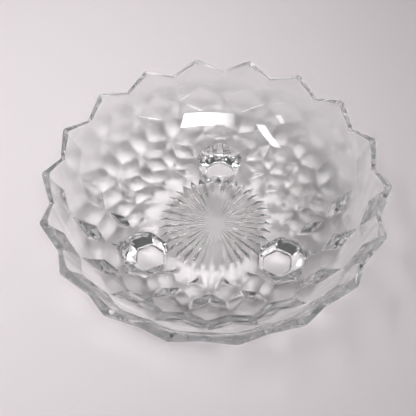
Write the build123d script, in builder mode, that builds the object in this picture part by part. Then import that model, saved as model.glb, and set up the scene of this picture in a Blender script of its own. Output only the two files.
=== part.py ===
"""Clear pressed-glass candy dish: an open bowl with a zigzag rim of 18 points,
a relief of stacked cubes outside, a rayed star under its base and three feet.

The dish is one pressing of glass. Each of its moulded features is a solid and a
node of its own, and they meet face to face: the cube-pattern bowl, the rayed
base disc and the three feet.

Frame: millimetres, +Z up, the origin on the table under the centre of the dish.
The back foot is on +Y, and two rim points lie on the X axis.
"""

import os
from math import cos, radians, sin

from build123d import *

# ---- driving dimensions ------------------------------------------------------
RIM_POINTS = 18                  # points round the zigzag rim, one cube column each
PITCH = 360 / RIM_POINTS         # degrees between two point columns
FIRST_POINT = 0.0                # azimuth of one rim point, in degrees

RIM_TIP = (89.0, 59.6)           # radius and height of a rim point
RIM_NOTCH = (84.4, 53.7)         # radius and height of a notch between two points
RIM_APEX_HEIGHT = 54.0           # where the planes of the rim's top meet the axis

BASE_HEIGHT = 17.6               # underside of the base above the table
BASE_CORNER = 34.7               # radius of the flat underside's 18 corners
STAR_RADIUS = 32.4               # round base disc that carries the star

FOOT_CIRCLE = 41.9               # radius of the circle that the feet stand on
FOOT_PAD_APOTHEM = 8.6           # half the width over flats at the table
FOOT_KNEE = (5.0, 8.4)           # height of the knee and the half width there
FOOT_DRAFT = 0.24                # how much the half width grows per millimetre above it
FOOT_TOP = 26.0                  # the draft runs on to here, inside the bowl's form
FOOT_CORNER = 4.0                # rounding of the six upright corners
FOOT_EDGE = 0.8                  # chamfer round the pad
FOOT_AZIMUTHS = {"foot_back": 90, "foot_left": 210, "foot_right": 330}

RAY_COUNT = 36                   # V-shaped cuts of the star
RAY_INNER = 3.0                  # radius of a ray's inner tip
RAY_OUTER = 32.0                 # radius of its outer tip
RAY_WIDEST = 27.5                # radius where it is widest and deepest
RAY_WIDTH = 4.4
RAY_DEPTH = 1.3

CAVITY_TOP = 68.0                # the cavity's cutter runs on above the rim

# ---- the cube relief ---------------------------------------------------------
# Rings of corners, from the rim down to the base, as (radius, height). Corners on a
# point column stand under a rim point, corners on a notch column under a notch. Each
# cube shows two steep side faces with one rhombus below them: its "nose" is the
# corner that stands proud, and the "hollow" below it is the corner that lies deepest.
POINT_COLUMN = {
    "tip": RIM_TIP,
    "nose_1": (81.7, 43.6),
    "hollow_1": (69.6, 35.2),
    "star_2": (60.9, 25.7),
    "nose_3": (50.7, 20.1),
    "hollow_3": (40.2, 20.4),
    "base": (BASE_CORNER, BASE_HEIGHT),
}
NOTCH_COLUMN = {
    "notch": RIM_NOTCH,
    "star_1": (77.2, 39.5),
    "nose_2": (65.8, 26.6),
    "hollow_2": (52.7, 24.8),
    "star_3": (45.3, 20.3),
}


def at(ring, azimuth):
    """The corner of a ring, a (radius, height) pair, at an azimuth in degrees."""
    radius, height = ring
    return Vector(radius * cos(radians(azimuth)), radius * sin(radians(azimuth)), height)


def solid_of(facets):
    """A closed solid from flat facets, each a list of corners."""
    faces = [Face(Wire.make_polygon(corners, close=True)) for corners in facets]
    return Solid(Shell(faces))


def halves(a, b, c, d):
    """A four-cornered facet as two triangles, folded along its diagonal a-c."""
    return [[a, b, c], [a, c, d]]


def half_column_facets(point_azimuth, side):
    """The facets between a point column and its neighbour notch column.

    side is +1 for the notch column on the greater azimuth and -1 for the other.
    """
    notch_azimuth = point_azimuth + side * PITCH / 2
    p = {name: at(ring, point_azimuth) for name, ring in POINT_COLUMN.items()}
    n = {name: at(ring, notch_azimuth) for name, ring in NOTCH_COLUMN.items()}
    apex = Vector(0, 0, RIM_APEX_HEIGHT)
    facets = [[p["tip"], n["notch"], apex]]
    # side faces of the first, second and third cubes, from the rim down
    facets += halves(p["tip"], n["notch"], n["star_1"], p["nose_1"])
    facets += halves(n["star_1"], p["hollow_1"], p["star_2"], n["nose_2"])
    facets += halves(p["star_2"], n["hollow_2"], n["star_3"], p["nose_3"])
    facets += [[n["star_3"], p["hollow_3"], p["base"]]]
    # halves of the rhombi below them, each cut down its middle
    facets += [[p["nose_1"], n["star_1"], p["hollow_1"]]]
    facets += [[n["nose_2"], p["star_2"], n["hollow_2"]]]
    facets += [[p["nose_3"], n["star_3"], p["hollow_3"]]]
    return facets


def form_facets():
    """Every facet of the dish's outer form, closed over the rim and under the base."""
    facets = []
    point_azimuths = [FIRST_POINT + PITCH * k for k in range(RIM_POINTS)]
    for azimuth in point_azimuths:
        facets += half_column_facets(azimuth, +1)
        facets += half_column_facets(azimuth, -1)
        left = at(POINT_COLUMN["base"], azimuth)
        right = at(POINT_COLUMN["base"], azimuth + PITCH)
        facets += [[left, right, at(NOTCH_COLUMN["star_3"], azimuth + PITCH / 2)]]
    facets += [[at(POINT_COLUMN["base"], azimuth) for azimuth in point_azimuths]]
    return facets


def ray_facets():
    """One ray of the star: a kite on the base's underside with a V-shaped ridge."""
    inner = Vector(RAY_INNER, 0, BASE_HEIGHT)
    outer = Vector(RAY_OUTER, 0, BASE_HEIGHT)
    left = Vector(RAY_WIDEST, RAY_WIDTH / 2, BASE_HEIGHT)
    right = Vector(RAY_WIDEST, -RAY_WIDTH / 2, BASE_HEIGHT)
    ridge = Vector(RAY_WIDEST, 0, BASE_HEIGHT + RAY_DEPTH)
    kite = [[inner, left, outer, right]]
    return kite + [[inner, left, ridge], [left, outer, ridge], [outer, right, ridge], [right, inner, ridge]]


# The whole outer form, filled, which the bowl and the feet are cut from, and one ray.
outer_form = solid_of(form_facets())
ray = solid_of(ray_facets())


# ---- cavity: the smooth inside of the dish, as a cutter -------------------------
CAVITY_FLOOR = 22.8              # inside of the base above the table
CAVITY_FLAT = 22.0               # radius where the floor starts to rise
CAVITY_CURVE = [(44.0, 25.1), (57.6, 29.6), (66.0, 34.9), (73.6, 42.2), (81.2, 53.7), (84.2, 59.6)]
CAVITY_FLARE = (89.0, CAVITY_TOP)

with BuildPart() as cavity:
    with BuildSketch(Plane.XZ):
        with BuildLine():
            floor = Line((0, CAVITY_FLOOR), (CAVITY_FLAT, CAVITY_FLOOR))
            wall = Spline(floor @ 1, *CAVITY_CURVE, tangents=[(1, 0), (1, 2)])
            flare = Line(wall @ 1, CAVITY_FLARE)
            top = Line(flare @ 1, (0, CAVITY_TOP))
            Line(top @ 1, floor @ 0)
        make_face()
    revolve(axis=Axis.Z)


# ---- bowl: the wall with the cube relief and the zigzag rim ---------------------
with BuildPart() as bowl:
    add(outer_form)
    add(cavity.part, mode=Mode.SUBTRACT)
    with BuildSketch(Plane.XY.offset(BASE_HEIGHT)):
        Circle(STAR_RADIUS)
    extrude(amount=CAVITY_TOP - BASE_HEIGHT, mode=Mode.SUBTRACT)


# ---- star_base: the base disc with its rays cut in from below -------------------
with BuildPart() as star_base:
    with BuildSketch(Plane.XY.offset(BASE_HEIGHT)):
        Circle(STAR_RADIUS)
    extrude(amount=CAVITY_TOP - BASE_HEIGHT)
    add(cavity.part, mode=Mode.SUBTRACT)
    with PolarLocations(0, RAY_COUNT):
        add(ray, mode=Mode.SUBTRACT)


# ---- feet: six-sided pegs, one corner outward, standing under the form ------------
def make_foot(azimuth):
    """A foot at an azimuth in degrees, trimmed to the outer form above it."""
    centre = at((FOOT_CIRCLE, 0), azimuth)
    table = Plane(origin=centre, x_dir=at((1, 0), azimuth), z_dir=(0, 0, 1))
    knee_height, knee_apothem = FOOT_KNEE
    top_apothem = knee_apothem + FOOT_DRAFT * (FOOT_TOP - knee_height)
    levels = [(0, FOOT_PAD_APOTHEM), (knee_height, knee_apothem), (FOOT_TOP, top_apothem)]
    with BuildPart() as foot:
        for low, high in zip(levels, levels[1:]):
            for height, apothem in (low, high):
                with BuildSketch(table.offset(height)) as section:
                    RegularPolygon(radius=apothem, side_count=6, major_radius=False)
                    fillet(section.vertices(), radius=FOOT_CORNER)
            loft()
        chamfer(foot.faces().sort_by(Axis.Z)[0].edges(), length=FOOT_EDGE)
        add(outer_form, mode=Mode.SUBTRACT)
    return foot


feet = {name: make_foot(azimuth) for name, azimuth in FOOT_AZIMUTHS.items()}


# ---- write the nodes --------------------------------------------------------------
nodes = {"bowl": bowl, "star_base": star_base} | feet
os.makedirs("parts", exist_ok=True)
for name, node in nodes.items():
    node.part.label = name
    export_step(node.part, f"parts/{name}.step")
    box = node.part.bounding_box()
    print(name, "volume", round(node.part.volume), "size", box.size)
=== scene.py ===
from math import cos, degrees, hypot, pi, radians, sin

import bmesh
import bpy
import numpy as np
from mathutils import Matrix, Vector


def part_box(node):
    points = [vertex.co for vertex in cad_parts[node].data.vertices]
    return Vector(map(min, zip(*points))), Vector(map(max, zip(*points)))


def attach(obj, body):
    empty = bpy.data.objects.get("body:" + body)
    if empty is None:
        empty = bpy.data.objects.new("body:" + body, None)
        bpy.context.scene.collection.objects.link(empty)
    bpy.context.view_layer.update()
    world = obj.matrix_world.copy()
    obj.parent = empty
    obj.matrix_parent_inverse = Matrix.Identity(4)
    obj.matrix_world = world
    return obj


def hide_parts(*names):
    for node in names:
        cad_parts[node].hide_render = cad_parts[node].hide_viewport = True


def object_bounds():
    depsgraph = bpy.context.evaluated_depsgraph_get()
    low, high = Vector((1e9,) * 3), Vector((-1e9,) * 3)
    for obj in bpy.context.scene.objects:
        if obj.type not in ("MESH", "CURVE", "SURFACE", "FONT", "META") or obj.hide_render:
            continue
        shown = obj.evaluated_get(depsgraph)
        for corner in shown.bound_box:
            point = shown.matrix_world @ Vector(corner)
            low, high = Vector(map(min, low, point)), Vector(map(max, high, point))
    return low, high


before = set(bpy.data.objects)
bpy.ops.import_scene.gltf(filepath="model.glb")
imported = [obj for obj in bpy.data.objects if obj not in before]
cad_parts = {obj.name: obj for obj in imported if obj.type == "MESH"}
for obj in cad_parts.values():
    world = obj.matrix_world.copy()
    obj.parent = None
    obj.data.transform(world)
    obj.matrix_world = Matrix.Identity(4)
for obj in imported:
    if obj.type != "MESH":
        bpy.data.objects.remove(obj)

MM = 0.001
CAD_LOW, CAD_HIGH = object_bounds()

# ---- driving dimensions, from the frame where it gives them --------------------------
RIM_POINTS = 18                          # points round the rim, one cube column each
PITCH = 360 / RIM_POINTS
TIP_RADIUS = CAD_HIGH.x / MM             # one rim point lies on +X
TIP_HEIGHT = CAD_HIGH.z / MM
BASE_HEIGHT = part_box("star_base")[0].z / MM
STAR_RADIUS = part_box("star_base")[1].x / MM
RIM_APEX_HEIGHT = 54.0                   # where the planes of the rim's top meet the axis

# Rings of corners of the cube relief, as (radius, height) in millimetres, from the rim down.
# A nose is a corner that stands proud, and the hollow below it is the one that lies deepest.
POINT_COLUMN = {
    "tip": (TIP_RADIUS, TIP_HEIGHT),
    "nose_1": (81.7, 43.6),
    "hollow_1": (69.6, 35.2),
    "star_2": (60.9, 25.7),
    "nose_3": (50.7, 20.1),
    "hollow_3": (40.2, 20.4),
    "base": (34.7, BASE_HEIGHT),
}
NOTCH_COLUMN = {
    "notch": (84.4, 53.7),
    "star_1": (77.2, 39.5),
    "nose_2": (65.8, 26.6),
    "hollow_2": (52.7, 24.8),
    "star_3": (45.3, 20.3),
}

# Inside of the dish, as (radius, height) in millimetres, flat inside the first point.
CAVITY = [
    (22.0, 22.8),
    (44.0, 25.1),
    (57.6, 29.6),
    (66.0, 34.9),
    (73.6, 42.2),
    (81.2, 53.7),
    (84.2, 59.6),
]
CAVITY_RIM_SLOPE = 2.0                   # how steep the inside is at the rim

RAY_COUNT = 36
RAY_INNER, RAY_WIDEST, RAY_OUTER = 3.0, 27.5, 32.0     # radii of a ray's ends and widest place
RAY_WIDTH, RAY_DEPTH = 4.4, 1.3          # at the widest place

FOOT_CIRCLE = 41.9                       # radius of the circle that the feet stand on
FOOT_PAD_APOTHEM = 8.6                   # half the width over flats at the table
FOOT_KNEE = (5.0, 8.4)                   # height of the knee and the half width there
FOOT_DRAFT = 0.24                        # how much the half width grows above the knee
FOOT_AZIMUTHS = {"foot_back": 90, "foot_left": 210, "foot_right": 330}
JOINT_HEIGHT, JOINT_SLOPE = 17.1, 0.17   # plane where a foot meets the bowl, at radius 32
STUB_HEIGHT, STUB_SLOPE = 20.8, 0.22     # top of the foot's stub, inside the bowl's glass
PLANE_RADIUS = 32.0                      # radius where the heights of both planes hold
FOOT_TOP = 32.0                          # the draft runs on to here, above both planes
STUB_GAP = 0.02                          # between a foot's stub and the rayed base

# Rounding of the edges, as the width of each bevel in millimetres.
RIM_BEVEL, FACET_BEVEL, RAY_BEVEL = 1.0, 0.85, 0.15
FOOT_BEVEL, FOOT_CORNER = 1.7, 2.3       # round the pad, and along the upright corners

GLASS_IOR = 1.51
FLOOR_HALF_WIDTH = 3.0                   # in metres
FLOOR_DROP = 0.15                        # keeps the pads clear of the floor

SEGMENTS = 360    # facets round the smooth inside
WALL_ROWS = 44     # rings of faces up the inside of the wall
FLOOR_ROWS = 10                          # rings of faces in the dish's floor
RIM_HALVINGS = 40                        # steps of the search for the rim's inner edge
LIGHT_BOUNCES, CLEAR_BOUNCES = 32, 16    # of a light path in the glass, and through joints
GLASS, JOINT, INSIDE = 0, 1, 2           # material slots while a piece is made


def on_ring(ring, azimuth):
    """A (radius, height) pair in millimetres, at an azimuth, as a point in metres."""
    radius, height = ring
    a = radians(azimuth)
    return Vector((radius * cos(a), radius * sin(a), height)) * MM


# ---- camera --------------------------------------------------------------------------
CAMERA_AZIMUTH, CAMERA_ELEVATION, CAMERA_ROLL = 5.6, 55.5, -2.4
CAMERA_DISTANCE = 4.17 * TIP_RADIUS * MM
CAMERA_TARGET = (-0.0613 * TIP_RADIUS * MM, 0.1975 * TIP_RADIUS * MM, 0.008)
SENSOR = 36.0
FOCAL_IN_WIDTHS = 1.521                  # focal length over the picture's width


def make_camera():
    """The camera, turned by its roll about the line of sight."""
    a, e = radians(CAMERA_AZIMUTH), radians(CAMERA_ELEVATION)
    back = Vector((sin(a) * cos(e), -cos(a) * cos(e), sin(e)))
    data = bpy.data.cameras.new("camera")
    data.sensor_width = SENSOR
    data.lens = SENSOR * FOCAL_IN_WIDTHS
    camera = bpy.data.objects.new("camera", data)
    camera.location = Vector(CAMERA_TARGET) + back * CAMERA_DISTANCE
    roll = Matrix.Rotation(radians(CAMERA_ROLL), 3, "Z")
    camera.rotation_mode = "QUATERNION"
    turn = (-back).to_track_quat("-Z", "Y").to_matrix() @ roll
    camera.rotation_quaternion = turn.to_quaternion()
    bpy.context.scene.collection.objects.link(camera)
    bpy.context.scene.camera = camera


make_camera()


# ---- the inside of the dish as a smooth curve ----------------------------------------
def clamped_spline(points, first_slope, last_slope):
    """The cubic spline through the points with the two given end slopes."""
    x = np.array([p[0] for p in points])
    y = np.array([p[1] for p in points])
    count = len(x)
    step = np.diff(x)
    rise = np.diff(y) / step
    matrix = np.zeros((count, count))
    right = np.zeros(count)
    matrix[0, 0] = matrix[-1, -1] = 1
    right[0], right[-1] = first_slope, last_slope
    for i in range(1, count - 1):
        matrix[i, i - 1] = step[i]
        matrix[i, i] = 2 * (step[i - 1] + step[i])
        matrix[i, i + 1] = step[i - 1]
        right[i] = 3 * (step[i] * rise[i - 1] + step[i - 1] * rise[i])
    slope = np.linalg.solve(matrix, right)

    def evaluate(r):
        """Height and slope at a radius."""
        if r <= x[0]:
            return y[0], 0.0
        if r >= x[-1]:
            return y[-1] + slope[-1] * (r - x[-1]), slope[-1]
        i = int(np.searchsorted(x, r)) - 1
        t = (r - x[i]) / step[i]
        a, b = slope[i] * step[i], slope[i + 1] * step[i]
        c2 = 3 * (y[i + 1] - y[i]) - 2 * a - b
        c3 = 2 * (y[i] - y[i + 1]) + a + b
        return y[i] + t * (a + t * (c2 + t * c3)), (a + t * (2 * c2 + 3 * t * c3)) / step[i]

    return evaluate


inside = clamped_spline(CAVITY, 0.0, CAVITY_RIM_SLOPE)


def inside_normal(point):
    """The way the inside's surface faces at a point on it."""
    radius = hypot(point.x, point.y)
    slope = inside(radius / MM)[1]
    if radius < 1e-7:
        return Vector((0, 0, 1))
    return Vector((-slope * point.x / radius, -slope * point.y / radius, 1)).normalized()


def rim_radius(azimuth):
    """Radius where the inside meets the sloping top of the rim."""
    step = PITCH / 2
    low = int(azimuth // step)
    tip, notch = (low, low + 1) if low % 2 == 0 else (low + 1, low)
    t = on_ring(POINT_COLUMN["tip"], tip * step) / MM
    n = on_ring(NOTCH_COLUMN["notch"], notch * step) / MM
    apex = Vector((0, 0, RIM_APEX_HEIGHT))
    normal = (t - apex).cross(n - apex)
    a = radians(azimuth)
    fall = (normal.x * cos(a) + normal.y * sin(a)) / normal.z
    near, far = STAR_RADIUS, TIP_RADIUS
    for _ in range(RIM_HALVINGS):
        middle = (near + far) / 2
        if inside(middle)[0] < RIM_APEX_HEIGHT - fall * middle:
            near = middle
        else:
            far = middle
    return near


# ---- mesh helpers --------------------------------------------------------------------
def new_object(name, bm, materials):
    """An object in the scene, made from a bmesh with its faces turned outward."""
    mesh = bpy.data.meshes.new(name)
    bmesh.ops.recalc_face_normals(bm, faces=bm.faces)
    bm.to_mesh(mesh)
    bm.free()
    for material in materials:
        mesh.materials.append(material)
    piece = bpy.data.objects.new(name, mesh)
    bpy.context.scene.collection.objects.link(piece)
    return piece


def bevel(piece, width, segments=3):
    """Rounds the edges that carry a bevel weight, by width times the weight."""
    m = piece.modifiers.new("bevel", "BEVEL")
    m.width = width * MM
    m.segments = segments
    m.limit_method = "WEIGHT"
    m.use_clamp_overlap = True
    m.miter_outer = "MITER_SHARP"


def apply_modifiers(piece):
    """Gives the piece the mesh that its modifiers make."""
    graph = bpy.context.evaluated_depsgraph_get()
    evaluated = piece.evaluated_get(graph)
    mesh = bpy.data.meshes.new_from_object(
        evaluated, preserve_all_data_layers=True, depsgraph=graph
    )
    piece.modifiers.clear()
    piece.data = mesh
    return piece


def polish_normals(piece):
    """Flat facets keep their own normal, rounded edges blend, and the inside is exact."""
    piece.data.shade_smooth()
    bm = bmesh.new()
    bm.from_mesh(piece.data)
    for face in bm.faces:
        if face.material_index == JOINT:
            for edge in face.edges:
                edge.smooth = False
    bm.to_mesh(piece.data)
    bm.free()
    m = piece.modifiers.new("normals", "WEIGHTED_NORMAL")
    m.mode = "FACE_AREA"
    m.weight = 100
    m.keep_sharp = True
    apply_modifiers(piece)
    mesh = piece.data
    normals = [Vector(c.vector) for c in mesh.corner_normals]
    for polygon in mesh.polygons:
        if polygon.material_index == INSIDE:
            for loop in polygon.loop_indices:
                point = mesh.vertices[mesh.loops[loop].vertex_index].co
                normals[loop] = inside_normal(point)
            polygon.material_index = GLASS
        elif polygon.material_index == JOINT:
            for loop in polygon.loop_indices:
                normals[loop] = polygon.normal.copy()
    mesh.normals_split_custom_set(normals)
    mesh.materials.pop(index=INSIDE)
    return piece


# ---- materials -----------------------------------------------------------------------
def glass_material(name, tint):
    """Clear polished glass, with a tint that deepens at each surface crossed."""
    material = bpy.data.materials.new(name)
    material.use_nodes = True
    shader = material.node_tree.nodes["Principled BSDF"]
    shader.inputs["Base Color"].default_value = tint
    shader.inputs["Roughness"].default_value = 0.0
    shader.inputs["IOR"].default_value = GLASS_IOR
    shader.inputs["Transmission Weight"].default_value = 1.0
    return material


def joint_material():
    """Where two pieces of the one pressing meet, the glass runs on with nothing to see."""
    material = bpy.data.materials.new("glass_joint")
    material.use_nodes = True
    nodes, links = material.node_tree.nodes, material.node_tree.links
    nodes.remove(nodes["Principled BSDF"])
    clear = nodes.new("ShaderNodeBsdfTransparent")
    links.new(clear.outputs["BSDF"], nodes["Material Output"].inputs["Surface"])
    return material


glass = glass_material("clear_glass", (0.985, 0.995, 0.99, 1))
# The feet get a darker copy of the same glass. It is partly thick glass's own deeper tone and partly
# painted shade that tones down how bright the feet render.
thick_shaded_glass = glass_material("clear_glass_thick_painted_shade", (0.93, 0.94, 0.935, 1))     # the solid feet
joint = joint_material()


# ---- the bowl ------------------------------------------------------------------------
def make_bowl():
    """The wall: facets outside, the smooth inside, and the rim that joins them."""
    bm = bmesh.new()
    weight = bm.edges.layers.float.new("bevel_weight_edge")
    halves = range(2 * RIM_POINTS)
    corner = {}
    for k in range(RIM_POINTS):
        for name, ring in POINT_COLUMN.items():
            corner[name, 2 * k] = bm.verts.new(on_ring(ring, 2 * k * PITCH / 2))
        for name, ring in NOTCH_COLUMN.items():
            corner[name, 2 * k + 1] = bm.verts.new(on_ring(ring, (2 * k + 1) * PITCH / 2))

    def at(name, half):
        return corner[name, half % (2 * RIM_POINTS)]

    def facet(*corners):
        return bm.faces.new(corners)

    for k in halves:
        if k % 2 == 0:
            for s in (-1, 1):
                facet(at("tip", k), at("notch", k + s), at("star_1", k + s), at("nose_1", k))
                facet(at("star_1", k + s), at("hollow_1", k), at("star_2", k), at("nose_2", k + s))
                facet(at("star_2", k), at("hollow_2", k + s), at("star_3", k + s), at("nose_3", k))
                facet(at("star_3", k + s), at("hollow_3", k), at("base", k))
            facet(at("nose_1", k), at("star_1", k + 1), at("hollow_1", k), at("star_1", k - 1))
            facet(at("nose_3", k), at("star_3", k + 1), at("hollow_3", k), at("star_3", k - 1))
        else:
            facet(at("nose_2", k), at("star_2", k + 1), at("hollow_2", k), at("star_2", k - 1))
            facet(at("base", k - 1), at("star_3", k), at("base", k + 1))
    for edge in bm.edges:
        edge[weight] = FACET_BEVEL / RIM_BEVEL

    per_half = SEGMENTS // (2 * RIM_POINTS)
    step = 360 / SEGMENTS
    rim_radii = [rim_radius(j * step) for j in range(SEGMENTS)]
    rows = []
    for i in range(WALL_ROWS + 1):
        share = i / WALL_ROWS
        row = []
        for j in range(SEGMENTS):
            radius = STAR_RADIUS + (rim_radii[j] - STAR_RADIUS) * share
            row.append(bm.verts.new(on_ring((radius, inside(radius)[0]), j * step)))
        rows.append(row)
    under = [bm.verts.new(on_ring((STAR_RADIUS, BASE_HEIGHT), j * step)) for j in range(SEGMENTS)]
    for j in range(SEGMENTS):
        n = (j + 1) % SEGMENTS
        for low, high in zip(rows, rows[1:]):
            facet(low[j], low[n], high[n], high[j]).material_index = INSIDE
        facet(under[j], under[n], rows[0][n], rows[0][j]).material_index = JOINT

    top = rows[-1]
    for k in halves:
        arc = [top[(k * per_half + i) % SEGMENTS] for i in range(per_half + 1)]
        outer = [at("tip", k), at("notch", k + 1)] if k % 2 == 0 else [at("notch", k), at("tip", k + 1)]
        face = facet(outer[0], outer[1], *reversed(arc))
        for edge in face.edges:
            edge[weight] = 1.0
    for k in range(RIM_POINTS):
        arc = [under[(2 * k * per_half + i) % SEGMENTS] for i in range(2 * per_half + 1)]
        facet(at("base", 2 * k), at("base", 2 * k + 2), *reversed(arc))
    return new_object("pressed_bowl", bm, [glass, joint, glass])


# ---- the rayed base ------------------------------------------------------------------
def make_star_base():
    """The base disc, with the star's grooves in its underside."""
    bm = bmesh.new()
    weight = bm.edges.layers.float.new("bevel_weight_edge")
    per_ray = SEGMENTS // RAY_COUNT
    step = 360 / SEGMENTS
    under = [bm.verts.new(on_ring((STAR_RADIUS, BASE_HEIGHT), j * step)) for j in range(SEGMENTS)]
    rays = []
    half_angle = degrees(RAY_WIDTH / 2 / RAY_WIDEST)
    for k in range(RAY_COUNT):
        a = 360 / RAY_COUNT * k
        rays.append({
            "inner": bm.verts.new(on_ring((RAY_INNER, BASE_HEIGHT), a)),
            "right": bm.verts.new(on_ring((RAY_WIDEST, BASE_HEIGHT), a - half_angle)),
            "left": bm.verts.new(on_ring((RAY_WIDEST, BASE_HEIGHT), a + half_angle)),
            "ridge": bm.verts.new(on_ring((RAY_WIDEST, BASE_HEIGHT + RAY_DEPTH), a)),
            "outer": bm.verts.new(on_ring((RAY_OUTER, BASE_HEIGHT), a)),
        })
    for ray in rays:
        for pair in (("inner", "left"), ("left", "outer"), ("outer", "right"), ("right", "inner")):
            face = bm.faces.new([ray[pair[0]], ray[pair[1]], ray["ridge"]])
            for edge in face.edges:
                edge[weight] = 1.0
    bm.faces.new([ray["inner"] for ray in rays])
    for k, ray in enumerate(rays):
        after = rays[(k + 1) % RAY_COUNT]
        arc = [under[(k * per_ray + i) % SEGMENTS] for i in range(per_ray + 1)]
        own_side = [ray["inner"], ray["left"], ray["outer"]]
        bm.faces.new([*own_side, *arc, after["outer"], after["right"], after["inner"]])

    centre = bm.verts.new((0, 0, inside(0)[0] * MM))
    rings = []
    for i in range(1, FLOOR_ROWS + 1):
        radius = STAR_RADIUS * i / FLOOR_ROWS
        ring = (radius, inside(radius)[0])
        rings.append([bm.verts.new(on_ring(ring, j * step)) for j in range(SEGMENTS)])
    for j in range(SEGMENTS):
        n = (j + 1) % SEGMENTS
        bm.faces.new([centre, rings[0][j], rings[0][n]]).material_index = INSIDE
        for low, high in zip(rings, rings[1:]):
            bm.faces.new([low[j], low[n], high[n], high[j]]).material_index = INSIDE
        bm.faces.new([under[j], under[n], rings[-1][n], rings[-1][j]]).material_index = JOINT
    piece = new_object("star_base_disc", bm, [glass, joint, glass])
    bevel(piece, RAY_BEVEL, segments=2)
    return polish_normals(apply_modifiers(piece))


# ---- the feet ------------------------------------------------------------------------
def slanted(height, slope, azimuth):
    """A point on a plane that rises outward at an azimuth, and the plane's normal."""
    a = radians(azimuth)
    point = on_ring((PLANE_RADIUS, height), azimuth)
    return point, Vector((-slope * cos(a), -slope * sin(a), 1)).normalized()


def make_foot_body(name, azimuth):
    """The whole foot: six sides, one corner outward, up to a top inside the bowl's glass."""
    bm = bmesh.new()
    weight = bm.edges.layers.float.new("bevel_weight_edge")
    knee_height, knee_apothem = FOOT_KNEE
    top_apothem = knee_apothem + FOOT_DRAFT * (FOOT_TOP - knee_height)
    levels = [(0.0, FOOT_PAD_APOTHEM), (knee_height, knee_apothem), (FOOT_TOP, top_apothem)]
    loops = []
    for z, apothem in levels:
        centre = on_ring((FOOT_CIRCLE, z), azimuth)
        radius = apothem / cos(radians(30))
        loops.append([bm.verts.new(centre + on_ring((radius, 0), azimuth + 60 * i)) for i in range(6)])
    for low, top in zip(loops, loops[1:]):
        for i in range(6):
            n = (i + 1) % 6
            bm.faces.new([low[i], low[n], top[n], top[i]])
            bm.edges.get((low[i], top[i]))[weight] = 1.0
    bm.faces.new(loops[0])
    bm.faces.new(loops[-1])
    for i in range(6):
        bm.edges.get((loops[0][i], loops[0][i - 1]))[weight] = FOOT_BEVEL / FOOT_CORNER
    body = new_object(name, bm, [thick_shaded_glass, joint, thick_shaded_glass])
    bevel(body, FOOT_CORNER, segments=8)
    return apply_modifiers(body)


def cut(piece, point, normal, slot):
    """Cuts away what lies on the normal's side of a plane and closes the cut."""
    bm = bmesh.new()
    bm.from_mesh(piece.data)
    geometry = bm.verts[:] + bm.edges[:] + bm.faces[:]
    made = bmesh.ops.bisect_plane(bm, geom=geometry, plane_co=point, plane_no=normal, clear_outer=True)
    edges = [e for e in made["geom_cut"] if isinstance(e, bmesh.types.BMEdge)]
    filled = bmesh.ops.contextual_create(bm, geom=edges)
    for face in filled["faces"]:
        face.material_index = slot
    bmesh.ops.recalc_face_normals(bm, faces=bm.faces)
    bm.to_mesh(piece.data)
    bm.free()
    return piece


def make_foot(name, azimuth):
    """The foot below its joint, and the stub above it that is fused to the bowl."""
    joint_point, joint_normal = slanted(JOINT_HEIGHT, JOINT_SLOPE, azimuth)
    stub_point, stub_normal = slanted(STUB_HEIGHT, STUB_SLOPE, azimuth)
    foot = cut(make_foot_body(name, azimuth), joint_point, joint_normal, JOINT)
    stub = cut(make_foot_body(name + "_stub", azimuth), stub_point, stub_normal, GLASS)
    stub = cut(stub, joint_point, -joint_normal, JOINT)
    inward = -on_ring((1, 0), azimuth).normalized()
    stub = cut(stub, on_ring((STAR_RADIUS + STUB_GAP, 0), azimuth), inward, JOINT)
    return foot, stub


def fuse(piece, others):
    """Joins overlapping closed meshes into one skin."""
    for other in others:
        m = piece.modifiers.new("fuse", "BOOLEAN")
        m.operation = "UNION"
        m.solver = "EXACT"
        m.object = other
        m.material_mode = "INDEX"
    apply_modifiers(piece)
    for other in others:
        bpy.data.objects.remove(other)
    return piece


# ---- build the pieces ----------------------------------------------------------------
bowl = make_bowl()
bevel(bowl, RIM_BEVEL)
apply_modifiers(bowl)
star_base = make_star_base()
stubs = []
feet = {}
for foot_name, foot_azimuth in FOOT_AZIMUTHS.items():
    piece, stub = make_foot("glass_" + foot_name, foot_azimuth)
    feet[foot_name] = polish_normals(piece)
    stubs.append(stub)
fuse(bowl, stubs)
polish_normals(bowl)

for piece, node in [(bowl, "bowl"), (star_base, "star_base"), *((p, n) for n, p in feet.items())]:
    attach(piece, "root")
    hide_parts(node)


# ---- floor and light -----------------------------------------------------------------
def make_floor():
    """A plain pale floor under the pads."""
    bm = bmesh.new()
    bmesh.ops.create_grid(bm, x_segments=1, y_segments=1, size=FLOOR_HALF_WIDTH)
    material = bpy.data.materials.new("pale_floor")
    material.use_nodes = True
    shader = material.node_tree.nodes["Principled BSDF"]
    shader.inputs["Base Color"].default_value = (0.80, 0.744, 0.76, 1)
    shader.inputs["Roughness"].default_value = 0.45
    floor = new_object("floor", bm, [material])
    floor.location.z = -FLOOR_DROP * MM


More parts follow.
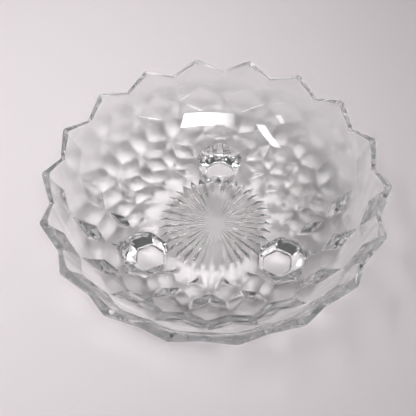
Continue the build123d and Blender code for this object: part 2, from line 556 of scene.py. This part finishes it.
def panel(name, location, size, radiance, target=None, spread=180):
    """A softbox of a given radiance at its target, facing it or else straight down."""
    data = bpy.data.lights.new(name, "AREA")
    data.shape = "RECTANGLE"
    data.size, data.size_y = size
    data.spread = radians(spread)
    data.energy = radiance * pi * size[0] * size[1]
    light = bpy.data.objects.new(name, data)
    light.location = location
    if target is not None:
        up = (Vector(location) - Vector(target)).normalized()
        side = (Vector((1, 0, 0)) - up * up.x).normalized()
        turn = Matrix((side, up.cross(side), up)).transposed()
        light.rotation_mode = "QUATERNION"
        light.rotation_quaternion = turn.to_quaternion()
    bpy.context.scene.collection.objects.link(light)


def make_light():
    """Two softboxes overhead, and a surrounding that gets lighter upward."""
    world = bpy.data.worlds.new("studio")
    world.use_nodes = True
    nodes, links = world.node_tree.nodes, world.node_tree.links
    coordinates = nodes.new("ShaderNodeTexCoord")
    split = nodes.new("ShaderNodeSeparateXYZ")
    ramp = nodes.new("ShaderNodeValToRGB")
    ramp.color_ramp.elements[0].position = 0.0
    ramp.color_ramp.elements[0].color = (0.02, 0.021, 0.022, 1)
    ramp.color_ramp.elements[1].position = 0.9
    ramp.color_ramp.elements[1].color = (0.12, 0.12, 0.124, 1)
    links.new(coordinates.outputs["Generated"], split.inputs["Vector"])
    links.new(split.outputs["Z"], ramp.inputs["Fac"])
    links.new(ramp.outputs["Color"], nodes["Background"].inputs["Color"])
    bpy.context.scene.world = world
    panel("softbox_front", (0.08, -0.57, 1.2), (0.64, 0.35), 2.68, (-0.27, 0.22, 0), 51)
    panel("softbox_left", (-0.53, -0.26, 1.2), (0.12, 0.5), 18.0)


make_floor()
make_light()

# These keep the light that the glass throws on the floor, and the long paths inside it.
scene = bpy.context.scene
scene.view_settings.view_transform = "Standard"
scene.cycles.blur_glossy = 0.0
scene.cycles.use_guiding = True
scene.cycles.max_bounces = LIGHT_BOUNCES
scene.cycles.glossy_bounces = LIGHT_BOUNCES
scene.cycles.transmission_bounces = LIGHT_BOUNCES
scene.cycles.transparent_max_bounces = CLEAR_BOUNCES
